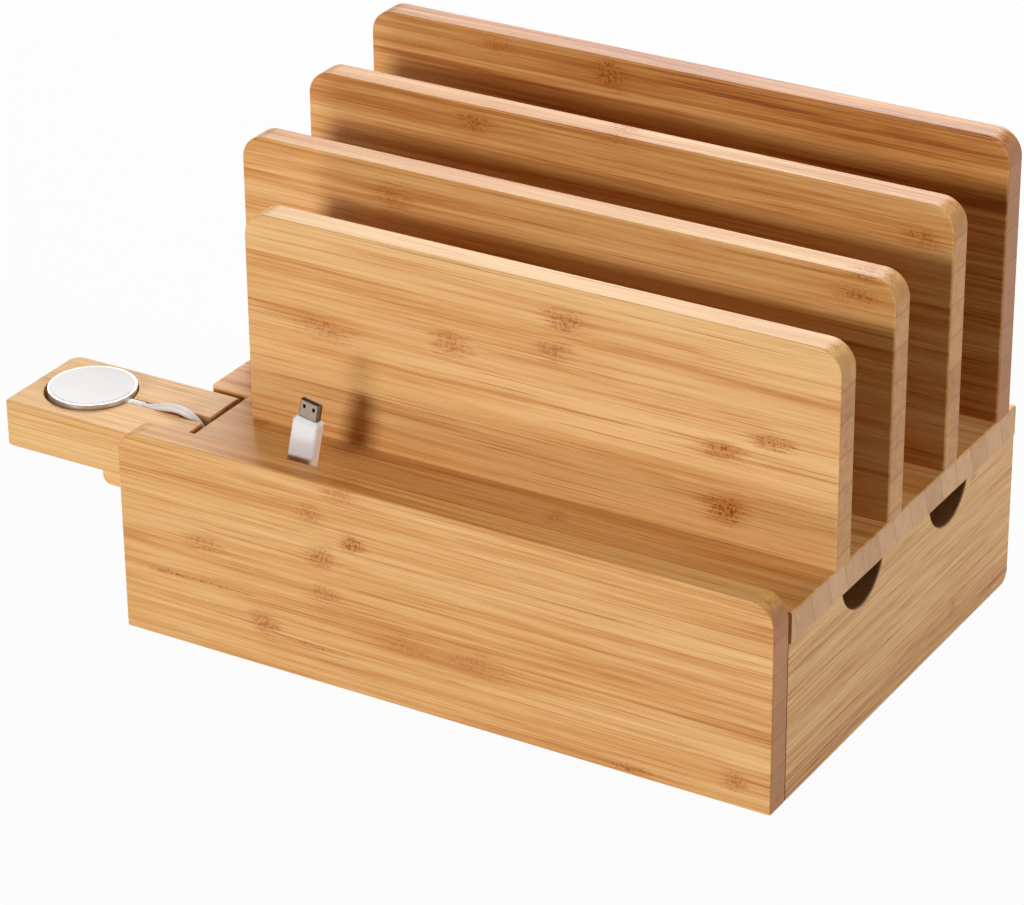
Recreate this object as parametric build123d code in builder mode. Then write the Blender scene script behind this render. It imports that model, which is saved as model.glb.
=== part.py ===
from build123d import *
from math import cos, hypot, pi, radians, sin, tan
import os

# Charging station organizer in strip bamboo: a box, a lift-off lid with four
# dividers, and a slide-out arm that holds a watch charger.
# X runs along the front, Y from front to back, Z up from the table.

# Boards and box
box_length = 222.0
box_depth = 159.6
board_thickness = 9.2
side_height = 50.7
front_height = 67.2
corner_radius = 8.0
edge_round = 0.7
rear_corner_radius = 4.0
box_lift = 0.5
bottom_thickness = 4.0
bottom_height = 4.0
groove_depth = 3.0
groove_clearance = 0.1
cut_overrun = 1.0

# Half-moon cut-outs in the top edges
moon_radius = 13.3
moon_rise = 3.9
moon_spacing = 57.4
rear_moon_spacing = 90.0

# Dowels, pegs and feet
dowel_radius = 2.5
dowel_length = 20.0
dowel_face_depth = 6.0
dowel_heights = (14.0, 37.0)
dowel_clearance = 0.05
peg_radius = 2.5
peg_length = 16.0
peg_stand = 6.0
peg_head_room = 0.5
peg_clearance = 0.3
peg_inset = 12.0
left_peg_gap = 10.0
peg_chamfer = 0.6
foot_radius = 6.0
foot_inset = 16.0
foot_round = 0.8

# Lid
lid_thickness = 9.7
lid_front_gap = 1.6
lid_rear_overhang = 0.6
lid_notch_gap = 2.0
lid_notch_rear_gap = 2.3
lid_corner_radius = 2.0
cable_slot_length = 30.0
cable_slot_width = 10.0
edge_notch_width = 12.6
edge_notch_depth = 8.7

# Dividers: the first and last front faces, and how the four share the way between them
first_divider_place = 38.0
last_divider_margin = 4.1
divider_place_shares = (0, 0.31025, 0.65743, 1)
first_divider_height = 68.5
divider_step = 8.0
first_divider_cutback = 23.0
screw_inset = 26.0

# Wood screws
screw_radius = 1.75
screw_head_radius = 3.5
screw_head_height = 2.4
screw_length = 24.0
screw_tip_length = 4.0
screw_clearance = 0.05
drive_width = 0.9
drive_span = 4.2
drive_depth = 1.1

# Watch arm
arm_overhang = 49.7
arm_tongue = 12.5
arm_width = 37.6
arm_front = 9.4
arm_thickness = 15.1
arm_back_corner_radius = 4.0
arm_front_corner_radius = 2.0
arm_side_clearance = 0.3
lip_length = 20.0
lip_clearance = 0.4
cord_from_back = 18.0
cord_slot_width = 4.6
cord_slot_run = 9.0
groove_width = 3.6
cord_groove_depth = 3.3
pocket_radius = 14.8
pocket_depth = 7.0
pocket_wall = 4.3
cleat_width = 14.4
cleat_height = 5.3
cleat_inset = 1.6
cleat_round = 3.0
cleat_gap = 0.3
cleat_screw_radius = 1.5
cleat_screw_head_radius = 2.9
cleat_screw_head_height = 1.9
cleat_screw_length = 13.0
cleat_screw_tip = 3.0
cleat_screw_spacing = 20.0

# Watch charger
puck_radius = 13.9
puck_height = 8.9
puck_shift = 0.5
puck_wall = 0.7
puck_floor = 1.0
puck_round = 1.4
magnet_chamfer = 0.35
face_thickness = 1.5
face_dish = 0.45
face_round = 0.35
face_clearance = 0.05
magnet_radius = 7.0
magnet_height = 4.0
winding_outer_radius = 11.6
winding_inner_radius = 8.2
winding_height = 1.2
relief_radius = 1.65
relief_length = 6.2
relief_height = 5.7
relief_round = 0.25

# Cord
cord_diameter = 2.7
coil_pitch = 3.25
coil_turns = 9.25
coil_climb_turns = 0.5
coil_middle_radius = 15.8
coil_run_out = 11.5
coil_steps_per_turn = 4
samples_per_turn = 48
arc_run_share = 0.45
# The stretch from the charger, through the arm's slot, down to the floor and the coil
cord_route = [
    (-96.85, -51.1, 59.6),
    (-91.6, -51.1, 59.6),
    (-86.9, -51.1, 61.6),
    (-82.0, -51.1, 61.8),
    (-77.4, -51.1, 59.6),
    (-74.2, -51.1, 55.2),
    (-73.6, -51.1, 49.0),
    (-72.9, -50.6, 39.6),
    (-72.7, -49.4, 28.4),
    (-73.4, -47.6, 19.6),
    (-73.8, -42.2, 12.4),
    (-73.8, -34.0, 10.15),
    (-73.8, -26.0, 10.15),
]

# Plug on the cord's end
plug_width = 15.6
plug_thickness = 9.1
plug_length = 22.0
plug_round = 1.5
plug_relief_length = 8.0
plug_relief_radius = 2.4
plug_relief_wall = 0.3
plug_shell_width = 12.0
plug_shell_thickness = 4.5
plug_shell_length = 12.0
plug_shell_wall = 0.35
plug_shell_seat = 4.0
plug_tongue_thickness = 1.8
plug_tongue_recess = 0.6
plug_window = 2.2
plug_window_spacing = 5.2
plug_window_inset = 4.4

# Connector standing in the lid's front notch
connector_lean = 11.0
connector_width = 8.8
connector_thickness = 5.2
connector_length = 24.0
connector_corner = 1.4
connector_shoulder = 1.1
connector_seat_gap = 0.3
connector_stand = 18.1
connector_shift = 0.5
connector_from_left = 54.65
tip_width = 6.85
tip_thickness = 1.95
tip_length = 5.4
tip_wall = 0.3
tip_taper = 0.6
tip_seat = 2.0
tip_tongue_thickness = 0.6
tip_tongue_recess = 0.5
latch_width = 0.9
latch_length = 1.3
latch_spacing = 3.3
latch_from_end = 1.7

# Places worked out from the sizes above
x_left = (arm_overhang - box_length) / 2
x_right = (arm_overhang + box_length) / 2
x_middle = (x_left + x_right) / 2
y_front = -(box_depth + lid_rear_overhang) / 2
y_back = y_front + box_depth
y_inside_front = y_front + board_thickness
y_inside_back = y_back - board_thickness
x_inside_left = x_left + board_thickness
x_inside_right = x_right - board_thickness
side_top = box_lift + side_height
lid_top = side_top + lid_thickness
lid_front = y_inside_front + lid_front_gap
lid_back = y_back + lid_rear_overhang
arm_left = x_left - arm_overhang
arm_right = x_left + arm_tongue
arm_y_front = y_front + arm_front
arm_y_back = arm_y_front + arm_width
arm_middle = (arm_y_front + arm_y_back) / 2
cord_y = arm_y_back - cord_from_back
arm_bottom = lid_top - arm_thickness
notch_x = arm_right + lid_notch_gap
notch_y = arm_y_back + lid_notch_rear_gap
lip_top = side_top - lip_clearance
pocket_x = arm_left + pocket_wall + pocket_radius
puck_x = pocket_x + puck_shift
pocket_floor = lid_top - pocket_depth
side_middle = (y_inside_front + y_back) / 2
side_moons = (side_middle - moon_spacing / 2, side_middle + moon_spacing / 2)
rear_moons = (x_middle - rear_moon_spacing / 2, x_middle + rear_moon_spacing / 2)
divider_span = box_depth - board_thickness - last_divider_margin - first_divider_place
lane_edges = [y_front + first_divider_place + share * divider_span for share in divider_place_shares]

os.makedirs("parts", exist_ok=True)


def save(piece, name):
    piece.label = name
    export_step(piece, f"parts/{name}.step")


def moon_cuts(places, top):
    # half-moons in the edge of a board whose sketch plane has its height along y
    with Locations(*[(place, top + moon_rise) for place in places]):
        Circle(moon_radius, mode=Mode.SUBTRACT)


def bottom_groove():
    # the groove that the bottom panel sits in, cut into whichever board is being made
    middle = (x_middle, (y_inside_front + y_inside_back) / 2, box_lift + bottom_height - groove_clearance)
    with Locations(middle):
        Box(
            x_inside_right - x_inside_left + 2 * groove_depth + 2 * groove_clearance,
            y_inside_back - y_inside_front + 2 * groove_depth + 2 * groove_clearance,
            bottom_thickness + 2 * groove_clearance,
            align=(Align.CENTER, Align.CENTER, Align.MIN),
            mode=Mode.SUBTRACT,
        )


def round_outline(part, axis, low_skip):
    # soften the outline of both broad faces, leaving the bottom edges square
    for face in (part.faces().sort_by(axis)[0], part.faces().sort_by(axis)[-1]):
        edges = [edge for edge in face.edges() if edge.center().Z > low_skip]
        fillet(edges, edge_round)


def board_upright(x_start, x_end, y_start, bottom, height):
    # an upright board along X with rounded top corners
    with BuildSketch(Plane.XZ.offset(-(y_start + board_thickness))) as outline:
        with Locations(((x_start + x_end) / 2, bottom)):
            Rectangle(x_end - x_start, height, align=(Align.CENTER, Align.MIN))
        fillet(outline.vertices().group_by(Axis.Y)[-1], corner_radius)
    extrude(outline.sketch, amount=board_thickness)


def front_dowel_places(x_side):
    return [(x_side, y_inside_front - dowel_face_depth, box_lift + height) for height in dowel_heights]


def back_dowel_places(x_start):
    y_dowel = (y_inside_back + y_back) / 2
    return [(x_start, y_dowel, box_lift + height) for height in dowel_heights]


side_centres = (x_left + board_thickness / 2, x_right - board_thickness / 2)
front_dowels_at = [place for x_side in side_centres for place in front_dowel_places(x_side)]
left_dowels_at = back_dowel_places(x_inside_left - dowel_face_depth)
right_dowels_at = back_dowel_places(x_inside_right + dowel_face_depth)
along_y = [Plane(origin=place, x_dir=(1, 0, 0), z_dir=(0, 1, 0)) for place in front_dowels_at]
along_x = [Plane(origin=place, x_dir=(0, 1, 0), z_dir=(1, 0, 0)) for place in left_dowels_at]
along_x += [Plane(origin=place, x_dir=(0, 1, 0), z_dir=(-1, 0, 0)) for place in right_dowels_at]


def dowel_bores(planes):
    # round holes for dowels that start at each plane
    with Locations(*planes):
        Cylinder(
            dowel_radius + dowel_clearance,
            dowel_length,
            align=(Align.CENTER, Align.CENTER, Align.MIN),
            mode=Mode.SUBTRACT,
        )


peg_rear = y_back - peg_inset
right_pegs = [(side_centres[1], y_inside_front + peg_inset), (side_centres[1], peg_rear)]
left_pegs = [(side_centres[0], arm_y_back + left_peg_gap), (side_centres[0], peg_rear)]
peg_foot = side_top + peg_stand - peg_length


def peg_bores(places):
    # holes in a side panel's top edge for its lid pegs
    with Locations(*[(x, y, peg_foot) for x, y in places]):
        Cylinder(
            peg_radius + dowel_clearance,
            peg_length,
            align=(Align.CENTER, Align.CENTER, Align.MIN),
            mode=Mode.SUBTRACT,
        )


# Front panel, whose top stands above the lid as a lip
with BuildPart() as front_panel:
    board_upright(x_left, x_right, y_front, box_lift, front_height)
    round_outline(front_panel, Axis.Y, box_lift + edge_round)
    bottom_groove()
    dowel_bores(along_y)
save(front_panel.part, "front_panel")


def side_outline(moons):
    # a side panel's outline, seen along X
    with Locations(((y_inside_front + y_back) / 2, box_lift)):
        Rectangle(y_back - y_inside_front, side_height, align=(Align.CENTER, Align.MIN))
    fillet(vertices().group_by(Axis.Y)[0].sort_by(Axis.X)[-1], rear_corner_radius)
    moon_cuts(moons, side_top)


# Right side panel
with BuildPart() as right_side_panel:
    with BuildSketch(Plane.YZ.offset(x_inside_right)):
        side_outline(side_moons)
    extrude(amount=board_thickness)
    outer_arcs = right_side_panel.faces().sort_by(Axis.X)[-1].edges().filter_by(GeomType.CIRCLE)
    fillet(outer_arcs.group_by(SortBy.RADIUS)[-1], edge_round)
    bottom_groove()
    dowel_bores(along_y + along_x)
    peg_bores(right_pegs)
save(right_side_panel.part, "right_side_panel")

# Left side panel, notched at the front for the watch arm
with BuildPart() as left_side_panel:
    with BuildSketch(Plane.YZ.offset(x_left)):
        side_outline(side_moons[1:])
        with Locations((y_inside_front, arm_bottom)):
            Rectangle(
                arm_y_back + arm_side_clearance - y_inside_front,
                side_top - arm_bottom + cut_overrun,
                align=(Align.MIN, Align.MIN),
                mode=Mode.SUBTRACT,
            )
    extrude(amount=board_thickness)
    outer_arcs = left_side_panel.faces().sort_by(Axis.X)[0].edges().filter_by(GeomType.CIRCLE)
    fillet(outer_arcs.group_by(SortBy.RADIUS)[-1], edge_round)
    bottom_groove()
    dowel_bores(along_y + along_x)
    peg_bores(left_pegs)
save(left_side_panel.part, "left_side_panel")

# Back panel, set between the sides
with BuildPart() as back_panel:
    with BuildSketch(Plane.XZ.offset(-y_back)):
        with Locations((x_middle, box_lift)):
            Rectangle(x_inside_right - x_inside_left, side_height, align=(Align.CENTER, Align.MIN))
        moon_cuts(rear_moons, side_top)
    extrude(amount=board_thickness)
    bottom_groove()
    dowel_bores(along_x)
save(back_panel.part, "back_panel")

# Bottom panel, held in the grooves
with BuildPart() as bottom_panel:
    with BuildSketch(Plane.XY.offset(box_lift + bottom_height)):
        with Locations((x_middle, (y_inside_front + y_inside_back) / 2)):
            Rectangle(
                x_inside_right - x_inside_left + 2 * groove_depth,
                y_inside_back - y_inside_front + 2 * groove_depth,
            )
    extrude(amount=bottom_thickness)
save(bottom_panel.part, "bottom_panel")

# Dowels
with BuildPart() as front_dowels:
    with Locations(*along_y):
        Cylinder(dowel_radius, dowel_length, align=(Align.CENTER, Align.CENTER, Align.MIN))
save(front_dowels.part, "front_dowels")

with BuildPart() as back_dowels:
    with Locations(*along_x):
        Cylinder(dowel_radius, dowel_length, align=(Align.CENTER, Align.CENTER, Align.MIN))
save(back_dowels.part, "back_dowels")

# Pegs that stand out of the side panels and locate the lid
with BuildPart() as lid_pegs:
    with Locations(*[(x, y, peg_foot) for x, y in right_pegs + left_pegs]):
        Cylinder(peg_radius, peg_length, align=(Align.CENTER, Align.CENTER, Align.MIN))
    chamfer(lid_pegs.faces().filter_by(Axis.Z).group_by(Axis.Z)[-1].edges(), peg_chamfer)
save(lid_pegs.part, "lid_pegs")

# Rubber feet under the bottom panel
foot_places = [
    (x, y)
    for x in (x_inside_left + foot_inset, x_inside_right - foot_inset)
    for y in (y_inside_front + foot_inset, y_inside_back - foot_inset)
]
with BuildPart() as rubber_feet:
    with Locations(*[(x, y, 0) for x, y in foot_places]):
        Cylinder(foot_radius, box_lift + bottom_height, align=(Align.CENTER, Align.CENTER, Align.MIN))
    fillet(rubber_feet.faces().filter_by(Axis.Z).group_by(Axis.Z)[0].edges(), foot_round)
save(rubber_feet.part, "rubber_feet")

# Dividers stand on the lid; the first is cut back at the left
divider_spans = []
for index, y_start in enumerate(lane_edges):
    x_start = x_left + first_divider_cutback if index == 0 else x_left
    divider_spans.append((x_start, x_right, y_start, first_divider_height + index * divider_step))


def divider_screw_planes(x_start, x_end, y_start):
    # three screws along the middle of a divider's thickness, from the lid's underside
    return [
        Plane(origin=(x, y_start + board_thickness / 2, side_top), z_dir=(0, 0, 1))
        for x in (x_start + screw_inset, (x_start + x_end) / 2, x_end - screw_inset)
    ]


def screw_profile(radius, head_radius, head_height, length, tip):
    # a countersunk wood screw without its recess, head at the bottom
    with BuildSketch(Plane.XZ) as half:
        with BuildLine():
            Polyline(
                (0, 0),
                (head_radius, 0),
                (radius, head_height),
                (radius, length - tip),
                (0, length),
                close=True,
            )
        make_face()
    revolve(half.sketch, axis=Axis.Z)


def screw_holes(planes, radius, head_radius, head_height, length, tip):
    # the room that screws of that profile take, a little larger than they are
    with BuildPart(mode=Mode.PRIVATE) as room:
        screw_profile(radius + screw_clearance, head_radius + screw_clearance, head_height, length, tip)
    for plane in planes:
        add(plane.location * room.part, mode=Mode.SUBTRACT)


divider_screw = (screw_radius, screw_head_radius, screw_head_height, screw_length, screw_tip_length)
for index, (x_start, x_end, y_start, height) in enumerate(divider_spans):
    with BuildPart() as divider:
        board_upright(x_start, x_end, y_start, lid_top, height)
        round_outline(divider, Axis.Y, lid_top + edge_round)
        screw_holes(divider_screw_planes(x_start, x_end, y_start), *divider_screw)
    save(divider.part, f"divider_{index + 1}")

# One screw with its cross recess, then the whole set
screw_planes = [plane for span in divider_spans for plane in divider_screw_planes(*span[:-1])]
with BuildPart() as one_screw:
    screw_profile(*divider_screw)
    Box(drive_span, drive_width, 2 * drive_depth, mode=Mode.SUBTRACT)
    Box(drive_width, drive_span, 2 * drive_depth, mode=Mode.SUBTRACT)

with BuildPart() as divider_screws:
    for plane in screw_planes:
        add(plane.location * one_screw.part)
save(divider_screws.part, "divider_screws")

# Lid
connector_x = x_left + connector_from_left
edge_notch_back = lid_front + edge_notch_depth
with BuildPart() as lid:
    with BuildSketch(Plane.XY.offset(side_top)):
        with Locations((x_middle, lid_front)):
            Rectangle(box_length, lid_back - lid_front, align=(Align.CENTER, Align.MIN))
        with Locations((x_left, lid_front)):
            Rectangle(notch_x - x_left, notch_y - lid_front, align=Align.MIN, mode=Mode.SUBTRACT)
        fillet(vertices().group_by(Axis.X)[0].sort_by(Axis.Y)[0], lid_corner_radius)
        with Locations((connector_x, lid_front)):
            Rectangle(edge_notch_width, 2 * edge_notch_depth, mode=Mode.SUBTRACT)
        for front_edge, rear_edge in zip(lane_edges[:-1], lane_edges[1:]):
            with Locations((x_middle, (front_edge + board_thickness + rear_edge) / 2)):
                SlotOverall(cable_slot_length, cable_slot_width, mode=Mode.SUBTRACT)
    extrude(amount=lid_thickness)
    fillet(lid.edges().filter_by(Axis.Y).group_by(Axis.X)[-1].group_by(Axis.Z)[-1], edge_round)
    with Locations(*[(x, y, side_top) for x, y in right_pegs + left_pegs]):
        Cylinder(
            peg_radius + peg_clearance,
            peg_stand + peg_head_room,
            align=(Align.CENTER, Align.CENTER, Align.MIN),
            mode=Mode.SUBTRACT,
        )
    screw_holes(screw_planes, *divider_screw)
save(lid.part, "lid")

cleat_right = x_left - cleat_gap
cleat_bottom = arm_bottom - cleat_height
cleat_screw_planes = [
    Plane(origin=(cleat_right - cleat_width / 2, arm_middle + side * cleat_screw_spacing / 2, cleat_bottom))
    for side in (-1, 1)
]
cleat_screw = (
    cleat_screw_radius,
    cleat_screw_head_radius,
    cleat_screw_head_height,
    cleat_screw_length,
    cleat_screw_tip,
)

# Watch arm: a thick bar with a pocket, a cord groove and a forked lip
with BuildPart() as watch_arm:
    with BuildSketch(Plane.XY.offset(arm_bottom)):
        with Locations((arm_left, arm_middle)):
            Rectangle(arm_right - arm_left, arm_width, align=(Align.MIN, Align.CENTER))
        fillet(vertices().group_by(Axis.X)[0].sort_by(Axis.Y)[-1], arm_back_corner_radius)
        fillet(vertices().group_by(Axis.X)[0].sort_by(Axis.Y)[0], arm_front_corner_radius)
    extrude(amount=arm_thickness)
    fillet(watch_arm.faces().sort_by(Axis.Z)[-1].edges(), edge_round)
    fillet(watch_arm.edges().filter_by(Axis.X).group_by(Axis.Z)[0], edge_round)
    with BuildSketch(Plane.XY.offset(arm_bottom)):
        with Locations((arm_right, arm_middle)):
            Rectangle(2 * lip_length, arm_width)
    extrude(amount=lip_top - arm_bottom)
    with Locations((pocket_x, cord_y, pocket_floor)):
        Cylinder(
            pocket_radius,
            pocket_depth + cut_overrun,
            align=(Align.CENTER, Align.CENTER, Align.MIN),
            mode=Mode.SUBTRACT,
        )
    with Locations((pocket_x, cord_y, lid_top)):
        Box(
            arm_right - pocket_x,
            groove_width,
            2 * cord_groove_depth,
            align=(Align.MIN, Align.CENTER, Align.CENTER),
            mode=Mode.SUBTRACT,
        )
    with Locations((arm_right - cord_slot_run, cord_y, arm_bottom - cut_overrun)):
        Box(
            cord_slot_run + lip_length + cut_overrun,
            cord_slot_width,
            arm_thickness + 2 * cut_overrun,
            align=(Align.MIN, Align.CENTER, Align.MIN),
            mode=Mode.SUBTRACT,
        )
    screw_holes(cleat_screw_planes, *cleat_screw)
save(watch_arm.part, "watch_arm")

# Cleat under the arm, against the outside of the box
with BuildPart() as arm_cleat:
    with BuildSketch(Plane.XY.offset(cleat_bottom)):
        with Locations((cleat_right, arm_middle)):
            Rectangle(cleat_width, arm_width - 2 * cleat_inset, align=(Align.MAX, Align.CENTER))
    extrude(amount=cleat_height)
    fillet(arm_cleat.edges().filter_by(Axis.Y).group_by(Axis.Z)[0].sort_by(Axis.X)[0], cleat_round)
    fillet(arm_cleat.edges().filter_by(Axis.X).group_by(Axis.Z)[0], edge_round)
    screw_holes(cleat_screw_planes, *cleat_screw)
save(arm_cleat.part, "arm_cleat")

with BuildPart() as one_cleat_screw:
    screw_profile(*cleat_screw)
    Box(drive_span, drive_width, 2 * drive_depth, mode=Mode.SUBTRACT)
    Box(drive_width, drive_span, 2 * drive_depth, mode=Mode.SUBTRACT)

with BuildPart() as cleat_screws:
    for plane in cleat_screw_planes:
        add(plane.location * one_cleat_screw.part)
save(cleat_screws.part, "cleat_screws")

# Watch charger, turned about its own axis and standing on the pocket's floor
puck_axis = Axis((puck_x, cord_y, pocket_floor), (0, 0, 1))
puck_plane = Plane(origin=(puck_x, cord_y, pocket_floor), x_dir=(1, 0, 0), z_dir=(0, -1, 0))
face_radius = puck_radius - puck_wall - face_clearance
face_rim = face_radius - face_round
dish_radius = (face_rim**2 + face_dish**2) / (2 * face_dish)
face_bottom = puck_height - face_thickness
case_height = puck_height - face_round
relief_start = puck_x + puck_radius - puck_wall
relief_plane = Plane(
    origin=(relief_start, cord_y, pocket_floor + relief_height),
    x_dir=(0, 1, 0),
    z_dir=(1, 0, 0),
)
with BuildPart() as puck_case:
    with BuildSketch(puck_plane):
        with BuildLine():
            Polyline(
                (0, 0),
                (puck_radius, 0),
                (puck_radius, case_height),
                (puck_radius - puck_wall, case_height),
                (puck_radius - puck_wall, puck_floor),
                (0, puck_floor),
                close=True,
            )
        make_face()
    revolve(axis=puck_axis)
    fillet(puck_case.faces().sort_by(Axis.Z)[0].edges(), puck_round)
    with Locations(relief_plane):
        Cylinder(relief_radius + face_clearance, relief_length, mode=Mode.SUBTRACT)
save(puck_case.part, "puck_case")

with BuildPart() as puck_face:
    with BuildSketch(puck_plane):
        with BuildLine():
            Polyline(
                (0, puck_height - face_dish),
                (0, face_bottom),
                (face_radius, face_bottom),
                (face_radius, case_height),
            )
            RadiusArc((face_radius, case_height), (face_rim, puck_height), -face_round)
            RadiusArc((face_rim, puck_height), (0, puck_height - face_dish), dish_radius)
        make_face()
    revolve(axis=puck_axis)
save(puck_face.part, "puck_face")

with BuildPart() as puck_magnet:
    with Locations((puck_x, cord_y, pocket_floor + puck_floor)):
        Cylinder(magnet_radius, magnet_height, align=(Align.CENTER, Align.CENTER, Align.MIN))
    chamfer(puck_magnet.edges().filter_by(GeomType.CIRCLE), magnet_chamfer)
save(puck_magnet.part, "puck_magnet")

with BuildPart() as puck_winding:
    with BuildSketch(Plane.XY.offset(pocket_floor + face_bottom - winding_height)):
        with Locations((puck_x, cord_y)):
            Circle(winding_outer_radius)
            Circle(winding_inner_radius, mode=Mode.SUBTRACT)
    extrude(amount=winding_height)
save(puck_winding.part, "puck_winding")

with BuildPart() as puck_relief:
    with BuildSketch(relief_plane):
        Circle(relief_radius)
    extrude(amount=relief_length)
    fillet(puck_relief.faces().sort_by(Axis.X)[-1].edges(), relief_round)
save(puck_relief.part, "puck_relief")


def corner_radii(points):
    # each arc as large as its two runs allow
    radii = []
    for before, here, after in zip(points[:-2], points[1:-1], points[2:]):
        run_in = Vector(*here) - Vector(*before)
        run_out = Vector(*after) - Vector(*here)
        half_turn = radians(run_in.get_angle(run_out)) / 2
        radii.append(arc_run_share * min(run_in.length, run_out.length) / tan(half_turn))
    return radii


def report_tube(name, tube, length):
    share = tube.volume / (pi * cord_diameter**2 / 4 * length)
    print(name, "length", round(length, 1), "volume share", round(share, 4))


# Free stretch of the cord
with BuildLine() as cord_line:
    FilletPolyline(*cord_route, radius=corner_radii(cord_route))
with BuildPart() as watch_cord:
    add(cord_line)
    with BuildSketch(Plane(origin=cord_route[0], z_dir=(1, 0, 0))):
        Circle(cord_diameter / 2)
    sweep()
save(watch_cord.part, "watch_cord")
tube_length = cord_line.wires()[0].length
print("cord radii", [round(radius, 1) for radius in corner_radii(cord_route)])
report_tube("stretch", watch_cord.part, tube_length)

# The wound length: it spirals in, climbs a layer where it reverses, and spirals out again
coil_reverse = coil_turns / 2
coil_inner_radius = coil_middle_radius - coil_pitch * coil_reverse / 2
coil_outer_radius = coil_middle_radius + coil_pitch * coil_reverse / 2
coil_start = Vector(*cord_route[-1])
coil_centre = coil_start + Vector(coil_outer_radius, cord_diameter, 0)


def coil_angle(turn):
    # clockwise from the left-most point
    return pi - 2 * pi * turn


def coil_point(turn):
    from_reverse = turn - coil_reverse
    radius = coil_inner_radius + coil_pitch * abs(from_reverse)
    climbed = min(max(from_reverse / coil_climb_turns + 1 / 2, 0), 1)
    height = coil_pitch * climbed**2 * (3 - 2 * climbed)
    angle = coil_angle(turn)
    return coil_centre + Vector(radius * cos(angle), radius * sin(angle), height)


def coil_heading(turn):
    # square to the radius at both ends, and along the winding between them
    if turn <= 0 or turn >= coil_turns:
        return Vector(sin(coil_angle(turn)), -cos(coil_angle(turn)), 0)
    step = 1 / samples_per_turn
    return (coil_point(turn + step) - coil_point(turn - step)).normalized()


def biarc_middle(start, start_heading, end, end_heading):
    # where two arcs of equal reach meet, tangent to both headings
    span = end - start
    across = 2 * (1 - start_heading.dot(end_heading))
    along = span.dot(start_heading + end_heading)
    reach = (hypot(along, (across * span.dot(span)) ** 0.5) - along) / across
    return (start + start_heading * reach + end - end_heading * reach) / 2


coil_knots = [index / coil_steps_per_turn for index in range(int(coil_turns * coil_steps_per_turn) + 1)]
with BuildLine() as coil_line:
    Line(coil_start, coil_point(0))
    for turn, next_turn in zip(coil_knots[:-1], coil_knots[1:]):
        start, end = coil_point(turn), coil_point(next_turn)
        middle = biarc_middle(start, coil_heading(turn), end, coil_heading(next_turn))
        first_arc = TangentArc(start, middle, tangent=coil_heading(turn))
        TangentArc(middle, end, tangent=first_arc % 1)
    coil_end = coil_point(coil_turns)
    plug_start = coil_end + Vector(coil_run_out, 0, 0)
    Line(coil_end, plug_start)
with BuildPart() as watch_cord_coil:
    add(coil_line)
    with BuildSketch(Plane(origin=coil_start, z_dir=(0, 1, 0))):
        Circle(cord_diameter / 2)
    sweep()
save(watch_cord_coil.part, "watch_cord_coil")
coil_wire = coil_line.wires()[0]
report_tube("coil", watch_cord_coil.part, coil_wire.length)
print("whole cord", round(tube_length + coil_wire.length, 1))

# Least gap between turns, on points along the winding that are half a turn or more apart
sample_count = int(coil_turns * samples_per_turn)
samples = [coil_wire @ (index / sample_count) for index in range(sample_count + 1)]
nearest = min(
    (samples[late] - samples[early]).length
    for late in range(samples_per_turn // 2, sample_count + 1)
    for early in range(late - samples_per_turn // 2 + 1)
)
print("least gap in the coil", round(nearest - cord_diameter, 2))

# Plug on the cord's end, lying on the box's floor
plug_plane = Plane(origin=plug_start, x_dir=(0, 1, 0), z_dir=(1, 0, 0))
with BuildPart() as plug_relief:
    with BuildSketch(plug_plane):
        Circle(cord_diameter / 2 + plug_relief_wall)
    with BuildSketch(plug_plane.offset(plug_relief_length)):
        Circle(plug_relief_radius)
    loft()
save(plug_relief.part, "plug_relief")

with BuildPart() as plug_housing:
    with BuildSketch(plug_plane.offset(plug_relief_length)):
        RectangleRounded(plug_width, plug_thickness, plug_round)
    extrude(amount=plug_length)
    fillet(plug_housing.faces().filter_by(Axis.X).edges(), edge_round)
    with BuildSketch(plug_plane.offset(plug_relief_length + plug_length - plug_shell_seat)):
        Rectangle(plug_shell_width, plug_shell_thickness)
    extrude(amount=plug_shell_seat, mode=Mode.SUBTRACT)
save(plug_housing.part, "plug_housing")

shell_plane = plug_plane.offset(plug_relief_length + plug_length - plug_shell_seat)
shell_reach = plug_shell_seat + plug_shell_length
window_x = plug_start.X + plug_relief_length + plug_length + plug_shell_length - plug_window_inset
window_places = [
    (window_x, plug_start.Y + side * plug_window_spacing / 2, plug_start.Z) for side in (-1, 1)
]
with BuildPart() as plug_shell:
    with BuildSketch(shell_plane):
        Rectangle(plug_shell_width, plug_shell_thickness)
        Rectangle(
            plug_shell_width - 2 * plug_shell_wall,
            plug_shell_thickness - 2 * plug_shell_wall,
            mode=Mode.SUBTRACT,
        )
    extrude(amount=shell_reach)
    with Locations(*window_places):
        Box(plug_window, plug_window, 2 * plug_shell_thickness, mode=Mode.SUBTRACT)
save(plug_shell.part, "plug_shell")

with BuildPart() as plug_tongue:
    with BuildSketch(shell_plane):
        with Locations((0, (plug_shell_thickness - plug_tongue_thickness) / 2 - plug_shell_wall)):
            Rectangle(plug_shell_width - 2 * plug_shell_wall, plug_tongue_thickness)
    extrude(amount=shell_reach - plug_tongue_recess)
save(plug_tongue.part, "plug_tongue")

# Connector, leaning in the lid's front notch
lean = radians(connector_lean)
connector_up = Vector(sin(lean), 0, cos(lean))
connector_y = edge_notch_back - connector_seat_gap - connector_thickness / 2
connector_at_lid = Vector(connector_x + connector_shift, connector_y, lid_top)
connector_plane = Plane(
    origin=connector_at_lid - connector_up * (connector_length - connector_stand),
    x_dir=(cos(lean), 0, -sin(lean)),
    z_dir=connector_up,
)
tip_plane = connector_plane.offset(connector_length - tip_seat)


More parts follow.
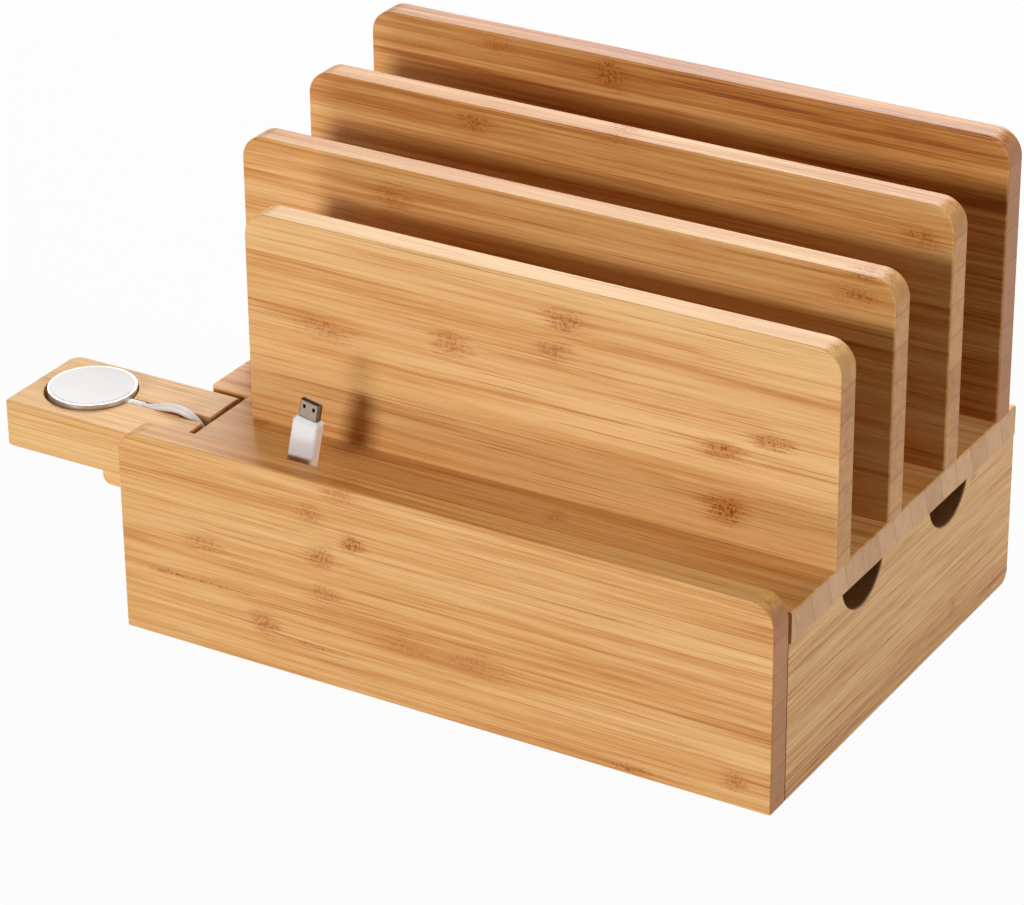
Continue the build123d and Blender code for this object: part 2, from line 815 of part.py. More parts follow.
def tip_outline(inset, mode=Mode.ADD):
    # a flat metal tip, narrower along one broad side
    half_width = tip_width / 2 - inset
    half_thickness = tip_thickness / 2 - inset
    Polygon(
        (-half_width, half_thickness),
        (half_width, half_thickness),
        (half_width, -half_thickness + tip_taper),
        (half_width - tip_taper, -half_thickness),
        (-half_width + tip_taper, -half_thickness),
        (-half_width, -half_thickness + tip_taper),
        align=None,
        mode=mode,
    )


with BuildPart() as connector_housing:
    with BuildSketch(connector_plane):
        RectangleRounded(connector_width, connector_thickness, connector_corner)
    extrude(amount=connector_length)
    chamfer(connector_housing.faces().sort_by(Axis.Z)[-1].edges(), connector_shoulder)
    with BuildSketch(tip_plane):
        tip_outline(0)
    extrude(amount=tip_seat, mode=Mode.SUBTRACT)
save(connector_housing.part, "connector_housing")

with BuildPart() as connector_shell:
    with BuildSketch(tip_plane):
        tip_outline(0)
        tip_outline(tip_wall, Mode.SUBTRACT)
    extrude(amount=tip_seat + tip_length)
    with BuildSketch(tip_plane.offset(tip_seat + tip_length - latch_from_end)):
        with Locations(*[(side * latch_spacing / 2, -tip_thickness / 2) for side in (-1, 1)]):
            Rectangle(latch_width, tip_thickness)
    extrude(amount=latch_length / 2, both=True, mode=Mode.SUBTRACT)
save(connector_shell.part, "connector_shell")

with BuildPart() as connector_tongue:
    with BuildSketch(tip_plane):
        with Locations((0, tip_thickness / 2 - tip_wall - tip_tongue_thickness / 2)):
            Rectangle(tip_width - 2 * tip_wall, tip_tongue_thickness)
    extrude(amount=tip_seat + tip_length - tip_tongue_recess)
save(connector_tongue.part, "connector_tongue")
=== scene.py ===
import bmesh
import bpy
from math import cos, pi, radians, sin
from mathutils import Matrix, Vector


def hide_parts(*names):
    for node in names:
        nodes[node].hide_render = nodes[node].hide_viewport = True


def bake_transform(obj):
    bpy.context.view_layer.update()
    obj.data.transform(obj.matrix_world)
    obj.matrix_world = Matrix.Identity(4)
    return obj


# Charging station organizer in strip bamboo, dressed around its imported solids.
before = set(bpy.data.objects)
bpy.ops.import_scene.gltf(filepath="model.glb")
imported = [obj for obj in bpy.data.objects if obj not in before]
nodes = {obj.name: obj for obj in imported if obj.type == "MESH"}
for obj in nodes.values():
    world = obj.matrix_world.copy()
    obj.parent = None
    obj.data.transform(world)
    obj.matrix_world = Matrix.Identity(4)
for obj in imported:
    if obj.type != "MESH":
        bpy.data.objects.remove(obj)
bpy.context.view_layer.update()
mm = 0.001
perMetre = 1000  # millimetres, the unit of lengths inside the shaders

# Camera, as the photograph was taken
cameraSettings = {
    "place": (0.57917, -0.95726, 0.61597),
    "azimuth": 30.577,
    "elevation": 26.968,
    "roll": -0.408,
    "lens": 143.55,
    "sensor": 36.0,
    "shift": (-0.0262, -0.0025),
    "nearest": 0.05,
}


def placeCamera(settings):
    data = bpy.data.cameras.new("studioCamera")
    data.lens = settings["lens"]
    data.sensor_width = settings["sensor"]
    data.shift_x, data.shift_y = settings["shift"]
    data.clip_start = settings["nearest"]
    camera = bpy.data.objects.new("studioCamera", data)
    turn = Matrix.Rotation(radians(settings["azimuth"]), 4, "Z")
    tilt = Matrix.Rotation(radians(90 - settings["elevation"]), 4, "X")
    roll = Matrix.Rotation(radians(settings["roll"]), 4, "Z")
    camera.matrix_world = Matrix.Translation(settings["place"]) @ turn @ tilt @ roll
    bpy.context.scene.collection.objects.link(camera)
    bpy.context.scene.camera = camera


placeCamera(cameraSettings)
print("camera placed")

# Watch cord: out of the charger, through the arm, down into the box and wound up on its floor
cordSettings = {
    "diameter": 2.7 * mm,
    "length": 1.0,
    "sides": 16,
    "smoothness": 6,  # points drawn per point of the line
    "route": [
        (-0.09685, -0.0511, 0.0596),
        (-0.0938, -0.0511, 0.0599),
        (-0.0893, -0.0511, 0.0618),
        (-0.0828, -0.0511, 0.0624),
        (-0.0774, -0.0511, 0.0600),
        (-0.0742, -0.0511, 0.0552),
        (-0.0736, -0.0511, 0.0490),
        (-0.0729, -0.0506, 0.0396),
        (-0.0727, -0.0494, 0.0284),
        (-0.0734, -0.0476, 0.0196),
        (-0.0738, -0.0422, 0.0124),
        (-0.0738, -0.0340, 0.01015),
        (-0.0738, -0.0260, 0.01015),
    ],
    "coilTurns": 9.25,
    "coilPitch": 3.25 * mm,
    "coilMiddleRadius": 15.8 * mm,
    "climbTurns": 0.5,
    "pointsPerTurn": 16,
    "runOut": 11.5 * mm,
    "heldAt": (-0.0774, -0.0511, 0.0600),  # from here on the cord stays with the box
}


def coilPoints(settings):
    # spirals in, climbs a layer where it reverses, and spirals out again
    pitch = settings["coilPitch"]
    reverse = settings["coilTurns"] / 2
    inner = settings["coilMiddleRadius"] - pitch * reverse / 2
    outer = settings["coilMiddleRadius"] + pitch * reverse / 2
    centre = Vector(settings["route"][-1]) + Vector((outer, settings["diameter"], 0))
    points = []
    for step in range(int(settings["coilTurns"] * settings["pointsPerTurn"]) + 1):
        turn = step / settings["pointsPerTurn"]
        climbed = min(max((turn - reverse) / settings["climbTurns"] + 1 / 2, 0), 1)
        radius = inner + pitch * abs(turn - reverse)
        angle = pi - 2 * pi * turn
        rise = pitch * climbed**2 * (3 - 2 * climbed)
        points.append(centre + Vector((radius * cos(angle), radius * sin(angle), rise)))
    return points


def smoothLine(points, smoothness):
    # the line that a NURBS spline draws through its control points
    curve = bpy.data.curves.new("cordLine", "CURVE")
    curve.dimensions = "3D"
    spline = curve.splines.new("NURBS")
    spline.points.add(len(points) - 1)
    for point, place in zip(spline.points, points):
        point.co = (*place, 1)
    spline.order_u = 3
    spline.use_endpoint_u = True
    spline.resolution_u = smoothness
    holder = bpy.data.objects.new("cordLine", curve)
    line = bpy.data.meshes.new_from_object(holder)
    path = [vertex.co.copy() for vertex in line.vertices]
    bpy.data.objects.remove(holder)
    bpy.data.meshes.remove(line)
    return path


def tubeAlong(name, path, radius, sides):
    # a round tube whose rings turn with the path without twisting
    form = bmesh.new()
    heading = (path[1] - path[0]).normalized()
    across = heading.orthogonal().normalized()
    rings = []
    for index, place in enumerate(path):
        before = path[max(index - 1, 0)]
        after = path[min(index + 1, len(path) - 1)]
        newHeading = (after - before).normalized()
        across = (heading.rotation_difference(newHeading) @ across).normalized()
        heading = newHeading
        other = heading.cross(across)
        ring = []
        for side in range(sides):
            angle = 2 * pi * side / sides
            outward = cos(angle) * across + sin(angle) * other
            ring.append(form.verts.new(place + radius * outward))
        rings.append(ring)
    for ring, nextRing in zip(rings[:-1], rings[1:]):
        for side in range(sides):
            beside = (side + 1) % sides
            form.faces.new((ring[side], ring[beside], nextRing[beside], nextRing[side]))
    form.faces.new(list(reversed(rings[0])))
    form.faces.new(rings[-1])
    for face in form.faces:
        face.smooth = len(face.verts) == 4
    mesh = bpy.data.meshes.new(name)
    form.to_mesh(mesh)
    form.free()
    tube = bpy.data.objects.new(name, mesh)
    bpy.context.scene.collection.objects.link(tube)
    return tube


def makeCord(settings):
    points = [Vector(place) for place in settings["route"]] + coilPoints(settings)
    points.append(points[-1] + Vector((settings["runOut"], 0, 0)))
    path = smoothLine(points, settings["smoothness"])
    cord = tubeAlong("watchCord", path, settings["diameter"] / 2, settings["sides"])
    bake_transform(cord)
    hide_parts("watch_cord", "watch_cord_coil")
    return cord


watchCord = makeCord(cordSettings)
print("watch cord laid")


# Shader kit: a socket with arithmetic, and one way to add any node
class Wire:
    def __init__(self, shader, socket):
        self.shader = shader
        self.socket = socket

    def math(self, operation, *others):
        sockets = {0: self}
        sockets.update({index + 1: other for index, other in enumerate(others)})
        return self.shader.node("ShaderNodeMath", {"operation": operation}, sockets)

    def __add__(self, other):
        return self.math("ADD", other)

    def __radd__(self, other):
        return self.math("ADD", other)

    def __sub__(self, other):
        return self.math("SUBTRACT", other)

    def __rsub__(self, other):
        return self.shader.node("ShaderNodeMath", {"operation": "SUBTRACT"}, {0: other, 1: self})

    def __mul__(self, other):
        return self.math("MULTIPLY", other)

    def __rmul__(self, other):
        return self.math("MULTIPLY", other)

    def __truediv__(self, other):
        return self.math("DIVIDE", other)

    def __rtruediv__(self, other):
        return self.shader.node("ShaderNodeMath", {"operation": "DIVIDE"}, {0: other, 1: self})

    def __abs__(self):
        return self.math("ABSOLUTE")


class Shader:
    def __init__(self, owner):
        self.owner = owner
        owner.use_nodes = True
        self.tree = owner.node_tree
        self.tree.nodes.clear()

    def node(self, kind, settings=None, sockets=None, output=0):
        made = self.tree.nodes.new(kind)
        for name, value in (settings or {}).items():
            if name == "stops":
                self.setStops(made.color_ramp, value)
            else:
                setattr(made, name, value)
        for key, value in (sockets or {}).items():
            if isinstance(value, Wire):
                self.tree.links.new(value.socket, made.inputs[key])
            else:
                made.inputs[key].default_value = value
        return Wire(self, made.outputs[output]) if len(made.outputs) else None

    def setStops(self, ramp, stops):
        while len(ramp.elements) < len(stops):
            ramp.elements.new(1.0)
        for element, (place, tint) in zip(ramp.elements, stops):
            element.position = place
            element.color = tint

    def output(self, wire, place):
        # another output of the node that a wire comes from
        return Wire(self, wire.socket.node.outputs[place])

    def objectPlace(self):
        return self.node("ShaderNodeTexCoord", output="Object")

    def smooth(self, value, edge):
        # 0 to 1 from where a soft edge starts to where it is complete
        low, high = edge
        sockets = {"Value": value, "From Min": low, "From Max": high}
        return self.node("ShaderNodeMapRange", {"interpolation_type": "SMOOTHSTEP"}, sockets)

    def mix(self, share, first, second):
        # the Mix node keeps its colours at inputs 6 and 7 and at output 2
        settings = {"data_type": "RGBA", "blend_type": "MIX"}
        return self.node("ShaderNodeMix", settings, {0: share, 6: first, 7: second}, output=2)

    def combine(self, x, y, z):
        return self.node("ShaderNodeCombineXYZ", {}, {0: x, 1: y, 2: z})

    def noise(self, vector, scale=1.0, detail=2.0, roughness=0.5):
        sockets = {"Vector": vector, "Scale": scale, "Detail": detail, "Roughness": roughness}
        return self.node("ShaderNodeTexNoise", {}, sockets)

    def seenRays(self):
        # 1 for what the camera sees, straight on, in gloss or through glass
        ray = self.node("ShaderNodeLightPath", output="Is Camera Ray")
        seen = ray.math("MAXIMUM", self.output(ray, "Is Glossy Ray"))
        return seen.math("MAXIMUM", self.output(ray, "Is Transmission Ray"))

    def finish(self, tint, roughness, height, depth, constants):
        normal = self.node("ShaderNodeBump", {}, {"Height": height, "Distance": depth})
        sockets = {"Base Color": tint, "Roughness": roughness, **constants, "Normal": normal}
        surface = self.node("ShaderNodeBsdfPrincipled", {}, sockets)
        self.node("ShaderNodeOutputMaterial", {}, {"Surface": surface})
        return self.owner


def linear(value):
    # one channel, from a screen's 0 to 255 to linear light
    share = value / 255
    return share / 12.92 if value <= 10 else ((share + 0.055) / 1.055) ** 2.4


def colour(red, green, blue):
    return (linear(red), linear(green), linear(blue), 1.0)


def darkened(tint, share):
    return tuple(value * share for value in tint[:3]) + (1.0,)


# Bamboo: strips glued side by side, with fibres, joints of the stem, and sawn ends.
# Lengths are in mm. An edge says where a soft step starts and where it is complete.
bambooSettings = {
    "grain": "x",  # axis of the fibres
    "stack": "z",  # axis that goes from strip to strip
    "depth": "y",  # axis through the board
    "seed": 0.0,
    "seedCourse": 7.31,  # strips per seed
    "seedShift": 31,  # shift of the fibres per seed
    # strips
    "stripWidth": 10.5,
    "lean": -0.05,
    "stripShift": 90,
    "stripContrast": 0.22,
    "glueEdge": (0.485, 0.4995),
    "glueShare": 0.12,
    # fibres: stretch along the grain, scale across it, detail, roughness, offset
    "broad": (0.005, 0.1, 1.0, 0.5, 0.0),
    "wide": (0.01, 0.3, 3.0, 0.6, 0.0),
    "narrow": (0.015, 0.95, 3.0, 0.65, 3.0),
    "fine": (0.07, 3.0, 2.0, 0.6, 0.0),
    "thin": (0.016, 1.7, 2.0, 0.55, 7.0),
    "trail": (0.08, 1.3, 2.0, 0.6, 11.0),
    "broadContrast": 0.7,
    "wideContrast": 1.25,
    "narrowContrast": 1.1,
    "fineContrast": 0.4,
    # tone of the long face
    "level": 0.4,
    "tones": [
        (0.0, colour(237, 190, 126)),
        (0.3, colour(227, 173, 106)),
        (0.55, colour(214, 151, 80)),
        (0.78, colour(192, 122, 53)),
        (1.0, colour(152, 82, 27)),
    ],
    "darkFoot": 0.0,
    "footEdge": (17, 7),
    "footSway": 16,
    "streak": colour(176, 102, 30),
    "streakEdge": (0.6, 0.69),
    "streakShare": 0.62,
    # joints of the stem: patches where they are wanted, and wild ones in rings along a strip
    "knots": [],
    "knotStretch": (1.25, 0.9),
    "knotEdge": (1.45, 0.1),
    "knotGround": colour(198, 116, 24),
    "knotShare": 0.75,
    "speckle": (0.9, 0.8, 4.0, 0.75),  # scale along, scale across, detail, roughness
    "speckleRagged": 1.3,
    "trailRagged": 3.2,
    "knotFleck": colour(132, 62, 2),
    "fleckEdge": (0.48, 0.55),
    "fleckShare": 0.95,
    "tailReach": 0.06,
    "tailEdge": (1.1, 0.2),
    "tailStreakEdge": (0.5, 0.6),
    "wildKnots": 0.35,
    "wildSpacing": 310,
    "wildLength": 4,
    "wildPinch": 2.2,  # more is narrower
    "wildEdge": (1.1, 0.3),
    # sawn end, with the cut fibres as dots
    "end": colour(222, 163, 98),
    "endDark": colour(172, 110, 58),
    "endFacing": (0.55, 0.9),
    "endLevel": 0.15,
    "endStrips": 0.55,
    "endGrades": 0.9,
    "grades": (3.7, 0.3, 2.0),  # step from strip to strip, scale, detail
    "dotScale": 1.15,
    "dotRandomness": 0.9,
    "dotEdge": (0.42, 0.12),
    "dotShare": 0.3,
    "glueLine": colour(152, 92, 38),
    "glueLineEdge": (0.45, 0.49),
    "glueLineShare": 0.42,
    # half-moons, whose cut walls get painted shade; the edge is measured from their radius
    "scorched": [],
    "scorch": colour(84, 40, 16),
    "moonShadeEdge": (0.5, 0.1),
    "moonShadeShare": 0.85,
    # surface
    "roughness": 0.44,
    "markRoughness": 0.1,
    "specular": 0.36,
    "fibreHeight": 0.3,
    "streakDepth": 0.1,
    "glueDepth": 0.15,
    "dotDepth": 0.4,
    "bumpDepth": 0.1 * mm,
}


def squared(wire):
    return wire.math("POWER", 2)


def bamboo(name, **changes):
    settings = {**bambooSettings, **changes}
    shader = Shader(bpy.data.materials.new(name))
    split = shader.node("ShaderNodeSeparateXYZ", {}, {0: shader.objectPlace()})
    axes = {letter: shader.output(split, index) * perMetre for index, letter in enumerate("xyz")}
    along, up, deep = axes[settings["grain"]], axes[settings["stack"]], axes[settings["depth"]]

    # strips, each with a tone and a start of its own
    course = (up + deep * settings["lean"]) / settings["stripWidth"]
    course = course + settings["seed"] * settings["seedCourse"]
    strip = course.math("FLOOR")
    across = abs(course.math("FRACT") - 0.5)
    chance = shader.node(
        "ShaderNodeTexWhiteNoise", {"noise_dimensions": "1D"}, {"W": strip}, output="Color"
    )
    chances = shader.node("ShaderNodeSeparateColor", {}, {0: chance})
    tone, start, phase = chances, shader.output(chances, 1), shader.output(chances, 2)
    shift = start * settings["stripShift"] + settings["seed"] * settings["seedShift"]

    def fibres(kind):
        # noise drawn out along the grain
        stretch, width, detail, roughness, offset = settings[kind]
        place = shader.combine(along * stretch + shift + offset, up * width, deep * width)
        return shader.noise(place, detail=detail, roughness=roughness)

    broad = fibres("broad")
    wide = fibres("wide")
    narrow = fibres("narrow")
    fine = fibres("fine")
    thin = fibres("thin")

    # joints of the stem: a ragged patch of flecks, with lines that trail off along the grain
    scaleAlong, scaleAcross, detail, roughness = settings["speckle"]
    place = shader.combine(along * scaleAlong, up * scaleAcross, deep * scaleAcross)
    speckle = shader.noise(place, detail=detail, roughness=roughness)
    trail = fibres("trail")
    ragged = (speckle - 0.5) * settings["speckleRagged"] + (trail - 0.5) * settings["trailRagged"]
    spacing = settings["wildSpacing"]
    ring = abs(((along / spacing + phase).math("FRACT") - 0.5) * spacing)
    wildReach = squared(ring / settings["wildLength"]) + squared(across * settings["wildPinch"])
    wild = shader.smooth(wildReach.math("SQRT") + ragged, settings["wildEdge"])
    knots = wild * settings["wildKnots"]
    tails = None
    longer, wider = settings["knotStretch"]
    for knotAlong, knotUp, halfLength, halfWidth, strength in settings["knots"]:
        far = squared((along - knotAlong) / (halfLength * longer))
        high = squared((up - knotUp) / (halfWidth * wider))
        patch = shader.smooth((far + high).math("SQRT") + ragged, settings["knotEdge"]) * strength
        tailReach = (far * settings["tailReach"] + high).math("SQRT")
        tail = shader.smooth(tailReach, settings["tailEdge"]) * strength
        knots = knots.math("MAXIMUM", patch)
        tails = tail if tails is None else tails.math("MAXIMUM", tail)
    flecks = knots * shader.smooth(speckle, settings["fleckEdge"])
    streaks = shader.smooth(thin, settings["streakEdge"])
    if tails is not None:
        streaks = streaks.math("MAXIMUM", tails * shader.smooth(thin, settings["tailStreakEdge"]))

    # long face
    shade = (wide - 0.5) * settings["wideContrast"] + (narrow - 0.5) * settings["narrowContrast"]
    shade = shade + (fine - 0.5) * settings["fineContrast"]
    shade = shade + (broad - 0.5) * settings["broadContrast"]
    shade = shade + (tone - 0.5) * settings["stripContrast"] + settings["level"]
    if settings["darkFoot"]:
        foot = shader.smooth(up + (wide - 0.5) * settings["footSway"], settings["footEdge"])
        shade = shade + foot * settings["darkFoot"]
    face = shader.node("ShaderNodeValToRGB", {"stops": settings["tones"]}, {0: shade})
    face = shader.mix(streaks * settings["streakShare"], face, settings["streak"])
    glue = shader.smooth(across, settings["glueEdge"])
    face = shader.mix(glue * settings["glueShare"], face, settings["streak"])
    face = shader.mix(knots * settings["knotShare"], face, settings["knotGround"])
    face = shader.mix(flecks * settings["fleckShare"], face, settings["knotFleck"])

    # sawn end, with the cut ends of the fibres and the glue lines between strips
    place = shader.combine(0.0, up * settings["dotScale"], deep * settings["dotScale"])
    dotSockets = {"Vector": place, "Scale": 1.0, "Randomness": settings["dotRandomness"]}
    dots = shader.node("ShaderNodeTexVoronoi", {}, dotSockets)
    dot = shader.smooth(dots, settings["dotEdge"])
    gradeStep, gradeScale, detail = settings["grades"]
    place = shader.combine(strip * gradeStep, up * gradeScale, deep * gradeScale)
    grades = shader.noise(place, detail=detail)
    endShade = tone * settings["endStrips"] + (grades - 0.5) * settings["endGrades"]
    end = shader.mix(endShade + settings["endLevel"], settings["end"], settings["endDark"])
    end = shader.mix(dot * settings["dotShare"], end, settings["endDark"])
    joint = shader.smooth(across, settings["glueLineEdge"])
    end = shader.mix(joint * settings["glueLineShare"], end, settings["glueLine"])
    facing = shader.node("ShaderNodeTexCoord", output="Normal")
    facing = shader.node("ShaderNodeSeparateXYZ", {}, {0: facing})
    endward = abs(shader.output(facing, "xyz".index(settings["grain"])))
    endward = shader.smooth(endward, settings["endFacing"])
    wood = shader.mix(endward, face, end)

    # half-moons: painted shade on their cut walls
    edgeStart, edgeEnd = settings["moonShadeEdge"]
    for circleAlong, circleUp, radius in settings["scorched"]:
        reach = (squared(along - circleAlong) + squared(up - circleUp)).math("SQRT")
        paintedMoonShade = shader.smooth(reach, (radius + edgeStart, radius + edgeEnd))
        wood = shader.mix(paintedMoonShade * settings["moonShadeShare"], wood, settings["scorch"])

    marks = settings["markRoughness"]
    roughness = settings["roughness"] + streaks * marks + flecks * marks
    height = fine * settings["fibreHeight"] + narrow * settings["fibreHeight"]
    height = height - streaks * settings["streakDepth"] - glue * settings["glueDepth"]
    height = height - dot * endward * settings["dotDepth"]
    constants = {"Specular IOR Level": settings["specular"]}
    return shader.finish(wood, roughness, height, settings["bumpDepth"], constants)


# Patches of stem joints: place along the grain, height, half length, half width (mm), strength
boardKnots = {
    "front": [
        (-7.5, 65.3, 4.5, 3.0, 0.55),
        (-17.9, 56.6, 3.5, 4.0, 0.5),
        (-2.8, 50.3, 3.0, 3.4, 0.9),
        (-13.8, 43.0, 4.0, 4.0, 0.75),
        (-56.3, 36.7, 6.0, 4.0, 0.45),
        (-12.9, 30.5, 5.0, 4.2, 0.45),
        (-34.9, 15.2, 4.0, 5.0, 0.6),
        (15.1, 21.8, 7.0, 3.6, 0.4),
        (39.2, 21.9, 9.0, 4.0, 0.4),
        (124.6, 8.2, 3.5, 3.2, 0.6),
        (-20.7, 12.2, 11.0, 1.0, 0.7),
        (-62.0, 23.4, 22.0, 0.9, 0.6),
        (88.9, 2.2, 7.0, 1.6, 0.7),
    ],
    "divider1": [
        (-36.3, 97.4, 8.0, 5.0, 0.5),
        (8.5, 102.6, 5.0, 4.5, 0.7),
        (47.4, 118.5, 5.5, 4.0, 0.8),
        (43.4, 108.3, 5.0, 3.8, 0.6),
        (97.8, 90.0, 6.0, 3.2, 0.9),
        (115.3, 96.3, 5.0, 3.0, 0.8),
        (100.1, 71.7, 5.5, 5.0, 1.0),
    ],
    "divider2": [
        (-31.0, 127.6, 6.0, 5.0, 0.5),
        (123.8, 130.9, 6.0, 3.4, 0.7),
        (125.2, 136.5, 4.0, 2.4, 0.5),
    ],
    "divider3": [
        (-25.4, 139.6, 6.0, 3.2, 0.7),
        (23.3, 144.9, 5.0, 2.4, 0.5),
        (125.6, 134.0, 5.0, 4.6, 0.6),
    ],
    "divider4": [
        (0.9, 147.6, 5.0, 5.0, 0.95),
        (-39.0, 149.8, 5.0, 3.4, 0.5),
    ],
}

# Half-moon cut-outs, with painted shade on their walls: place along the board, height of the
# centre, radius (mm)
halfMoons = {
    "sides": [(-24.4, 55.1, 13.3), (33.0, 55.1, 13.3)],
    "back": [(-20.15, 55.1, 13.3), (69.85, 55.1, 13.3)],
}


def dress(material, *names):
    for name in names:
        mesh = nodes[name].data
        mesh.materials.clear()
        mesh.materials.append(material)


dress(
    bamboo(
        "frontPanelBamboo",
        seed=1.0,
        knots=boardKnots["front"],
        wildKnots=0.0,
        end=colour(198, 136, 84),
    ),
    "front_panel",
)
# Dividers: their levels darken from the first to the fourth, partly the boards' own tone and
# partly painted shade for the lesser light that reaches the rear ones
dress(
    bamboo(
        "firstDividerBamboo",
        seed=2.0,
        level=0.27,
        knots=boardKnots["divider1"],
        wildKnots=0.0,
    ),
    "divider_1",
)
dress(
    bamboo(
        "secondDividerBamboo",
        seed=3.0,
        level=0.44,
        knots=boardKnots["divider2"],
        wildKnots=0.0,
    ),
    "divider_2",
)
dress(
    bamboo(
        "thirdDividerBamboo",
        seed=4.0,
        level=0.48,
        knots=boardKnots["divider3"],
        wildKnots=0.0,
    ),
    "divider_3",
)
# the fourth divider's dark level is partly painted shade
dress(
    bamboo(
        "fourthDividerBamboo",
        seed=5.0,
        level=0.66,
        knots=boardKnots["divider4"],
        wildKnots=0.0,
        end=colour(186, 132, 88),
    ),
    "divider_4",
)
dress(bamboo("backPanelBamboo", seed=6.0, scorched=halfMoons["back"]), "back_panel")
dress(
    bamboo(
        "sidePanelBamboo",
        seed=7.0,
        grain="y",
        depth="x",
        level=0.24,
        narrowContrast=1.8,
        fineContrast=1.4,
        darkFoot=0.26,
        scorched=halfMoons["sides"],
    ),
    "right_side_panel",
    "left_side_panel",
)
dress(
    bamboo(
        "lidBamboo",
        seed=8.0,
        stack="y",
        depth="z",
        lean=0.35,
        end=colour(230, 182, 132),
        endDark=colour(196, 144, 98),
        glueLine=colour(176, 122, 76),
    ),
    "lid",
)
dress(
    bamboo(
        "watchArmBamboo",
        seed=9.0,
        stack="y",
        depth="z",
        lean=0.35,
        level=0.19,
        wildKnots=0.0,
    ),
    "watch_arm",
    "arm_cleat",
)
dress(bamboo("bottomPanelBamboo", seed=10.0, stack="y", depth="z"), "bottom_panel")

# pegs and dowels, each turned from one strip
dress(
    bamboo("dowelBamboo", seed=11.0, grain="z", stack="x", depth="y", stripWidth=40.0),
    "lid_pegs",
)
dress(
    bamboo("frontDowelBamboo", seed=12.0, grain="y", stack="x", depth="z", stripWidth=40.0),
    "front_dowels",
)
dress(
    bamboo("backDowelBamboo", seed=13.0, grain="x", stack="y", depth="z", stripWidth=40.0),
    "back_dowels",
)
print("bamboo dressed")

# Mouldings: white plastic, black tongue and rubber feet, with a skin texture (grain size in mm)
mouldedSettings = {
    "grainSize": 0.4,
    "skinDetail": 2.0,
    "skinDepth": 0.02 * mm,
    "cloudScale": 90.0,
    "cloudDetail": 2.0,
    "variation": 0.04,
    "roughnessSway": 0.08,
    "specular": 0.5,
}


def moulded(name, tone, roughness, **changes):
    settings = {**mouldedSettings, **changes}
    shader = Shader(bpy.data.materials.new(name))
    where = shader.objectPlace()
    skinScale = perMetre / settings["grainSize"]
    skin = shader.noise(where, scale=skinScale, detail=settings["skinDetail"])
    cloud = shader.noise(where, scale=settings["cloudScale"], detail=settings["cloudDetail"])
    shade = shader.mix(cloud, tone, darkened(tone, 1 - settings["variation"]))
    roughness = roughness + (cloud - 0.5) * settings["roughnessSway"]
    constants = {"Specular IOR Level": settings["specular"]}
    return shader.finish(shade, roughness, skin, settings["skinDepth"], constants)


# Metals, with fine drawing marks along one axis
metalSettings = {
    "drawnAlong": "x",
    "scaleAlong": 60.0,
    "scaleAcross": 2600.0,
    "detail": 3.0,
    "darkest": 0.8,
    "markRoughness": 0.12,
    "markDepth": 0.01 * mm,
}


def metal(name, tone, roughness, **changes):
    settings = {**metalSettings, **changes}
    shader = Shader(bpy.data.materials.new(name))
    stretch = tuple(
        settings["scaleAlong"] if letter == settings["drawnAlong"] else settings["scaleAcross"]
        for letter in "xyz"
    )
    sockets = {0: shader.objectPlace(), 1: stretch}
    drawn = shader.node("ShaderNodeVectorMath", {"operation": "MULTIPLY"}, sockets)
    marks = shader.noise(drawn, detail=settings["detail"])
    shade = shader.mix(marks, tone, darkened(tone, settings["darkest"]))
    roughness = roughness + marks * settings["markRoughness"]
    return shader.finish(shade, roughness, marks, settings["markDepth"], {"Metallic": 1.0})


dress(
    moulded("chargerWhite", colour(252, 253, 253), 0.55, variation=0.02, specular=0.2),
    "puck_face",
    "puck_relief",
)
dress(
    moulded("connectorWhite", colour(240, 240, 240), 0.35),
    "connector_housing",
    "plug_housing",
    "plug_relief",
)
dress(
    moulded("footRubber", colour(52, 50, 48), 0.75, grainSize=0.8, skinDepth=0.06 * mm),
    "rubber_feet",
)
dress(moulded("tongueBlack", colour(60, 58, 56), 0.5), "connector_tongue")
dress(moulded("tongueWhite", colour(228, 228, 226), 0.5), "plug_tongue")
dress(metal("caseMetal", colour(214, 214, 216), 0.28, drawnAlong="z"), "puck_case")
dress(metal("tipMetal", colour(150, 134, 122), 0.36, drawnAlong="z"), "connector_shell")
dress(metal("shellMetal", colour(198, 198, 200), 0.3), "plug_shell")
dress(
    metal("screwSteel", colour(190, 188, 180), 0.36, drawnAlong="z"),
    "divider_screws",
    "cleat_screws",
)
dress(metal("magnetNickel", colour(186, 184, 180), 0.25), "puck_magnet")
dress(metal("windingCopper", colour(196, 116, 72), 0.38), "puck_winding")
cordWhite = moulded("cordWhite", colour(240, 240, 238), 0.42, grainSize=0.6)
watchCord.data.materials.append(cordWhite)
print("mouldings and metal dressed")

# Floor, light and backdrop
stageSettings = {
    "floorSize": 6.0,
    "floorColour": (0.45, 0.45, 0.45, 1.0),
    "floorRoughness": 0.6,
    "backdropColour": (1, 1, 1, 1),
    "backdropShare": 0.96,
    "worldStrength": 0.022,
    "aim": (0.0, 0.0, 0.06),
}
# each lamp: azimuth (0 in front, 90 at the right) and elevation, distance, size, power
lampSettings = {
    "frontLamp": (-13.0, 15.0, 3.0, (0.85, 0.55), 47.5),
    "tableGlow": (-13.0, -17.2, 3.03, (0.85, 0.55), 18.0),  # what the ground throws back
    "topLamp": (180.0, 86.0, 1.6, (0.45, 0.45), 3.0),
    "rearLamp": (200.0, 38.0, 1.9, (1.2, 0.8), 27.0),
    "rightLamp": (90.0, 24.0, 2.1, (0.4, 0.6), 16.5),
}


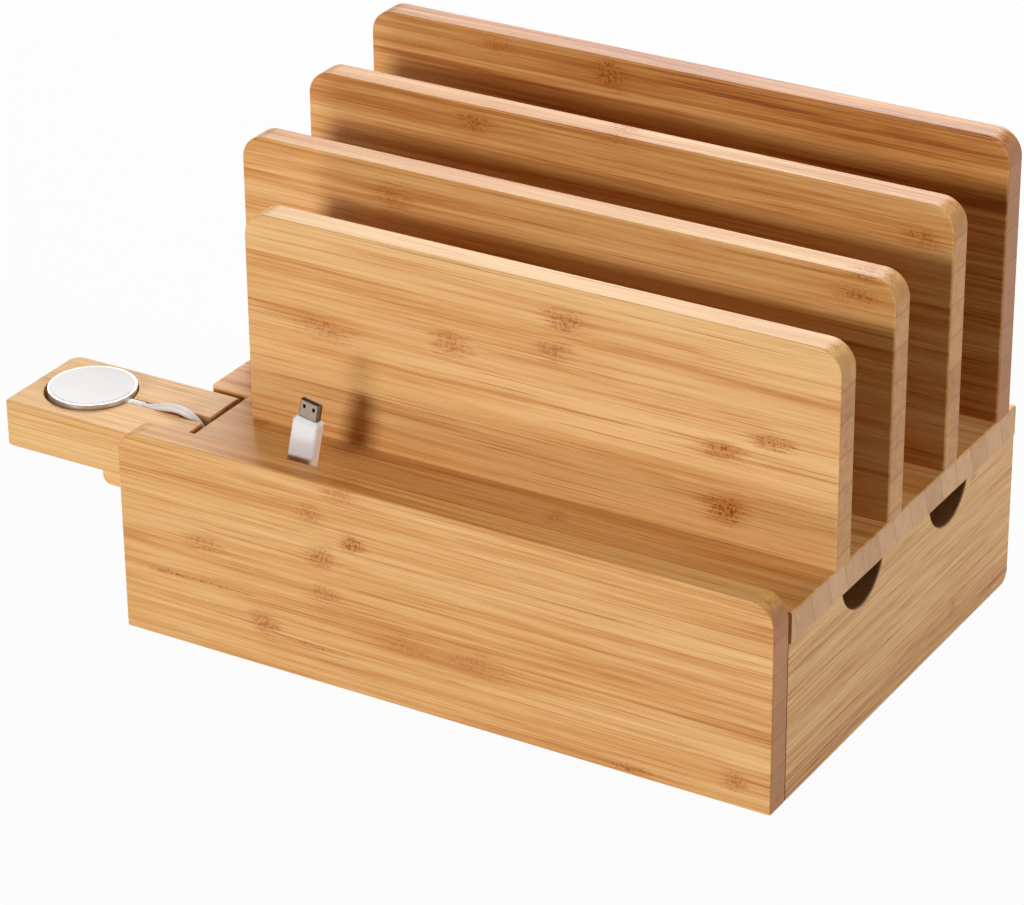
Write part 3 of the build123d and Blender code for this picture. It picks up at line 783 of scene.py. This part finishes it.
def layFloor(settings):
    form = bmesh.new()
    half = settings["floorSize"] / 2
    corners = ((-half, -half, 0), (half, -half, 0), (half, half, 0), (-half, half, 0))
    form.faces.new([form.verts.new(corner) for corner in corners])
    mesh = bpy.data.meshes.new("studioFloor")
    form.to_mesh(mesh)
    form.free()
    floor = bpy.data.objects.new("studioFloor", mesh)
    bpy.context.scene.collection.objects.link(floor)
    shader = Shader(bpy.data.materials.new("studioFloorPaper"))
    sockets = {"Base Color": settings["floorColour"], "Roughness": settings["floorRoughness"]}
    paper = shader.node("ShaderNodeBsdfPrincipled", {}, sockets)
    sockets = {"Color": settings["backdropColour"], "Strength": 1.0}
    glow = shader.node("ShaderNodeEmission", {}, sockets)
    seen = shader.seenRays() * settings["backdropShare"]
    surface = shader.node("ShaderNodeMixShader", {}, {0: seen, 1: paper, 2: glow})
    shader.node("ShaderNodeOutputMaterial", {}, {"Surface": surface})
    mesh.materials.append(shader.owner)
    floor.visible_shadow = False


def hangLamp(name, azimuth, elevation, distance, size, power, aim):
    data = bpy.data.lights.new(name, "AREA")
    data.shape = "RECTANGLE"
    data.size, data.size_y = size
    data.energy = power
    lamp = bpy.data.objects.new(name, data)
    flat = distance * cos(radians(elevation))
    rise = distance * sin(radians(elevation))
    away = Vector((flat * sin(radians(azimuth)), -flat * cos(radians(azimuth)), rise))
    lamp.location = Vector(aim) + away
    lamp.rotation_euler = away.to_track_quat("Z", "Y").to_euler()
    lamp.visible_camera = False
    bpy.context.scene.collection.objects.link(lamp)


def fillWorld(settings):
    # white where it is seen, and a faint fill on the object
    world = bpy.data.worlds.new("studioWorld")
    bpy.context.scene.world = world
    shader = Shader(world)
    faint = settings["worldStrength"]
    strength = faint + shader.seenRays() * (1 - faint)
    sockets = {"Color": settings["backdropColour"], "Strength": strength}
    back = shader.node("ShaderNodeBackground", {}, sockets)
    shader.node("ShaderNodeOutputWorld", {}, {"Surface": back})


layFloor(stageSettings)
for lampName, lampFacts in lampSettings.items():
    hangLamp(lampName, *lampFacts, stageSettings["aim"])
fillWorld(stageSettings)
bpy.context.scene.view_settings.view_transform = "Standard"
print("stage set")
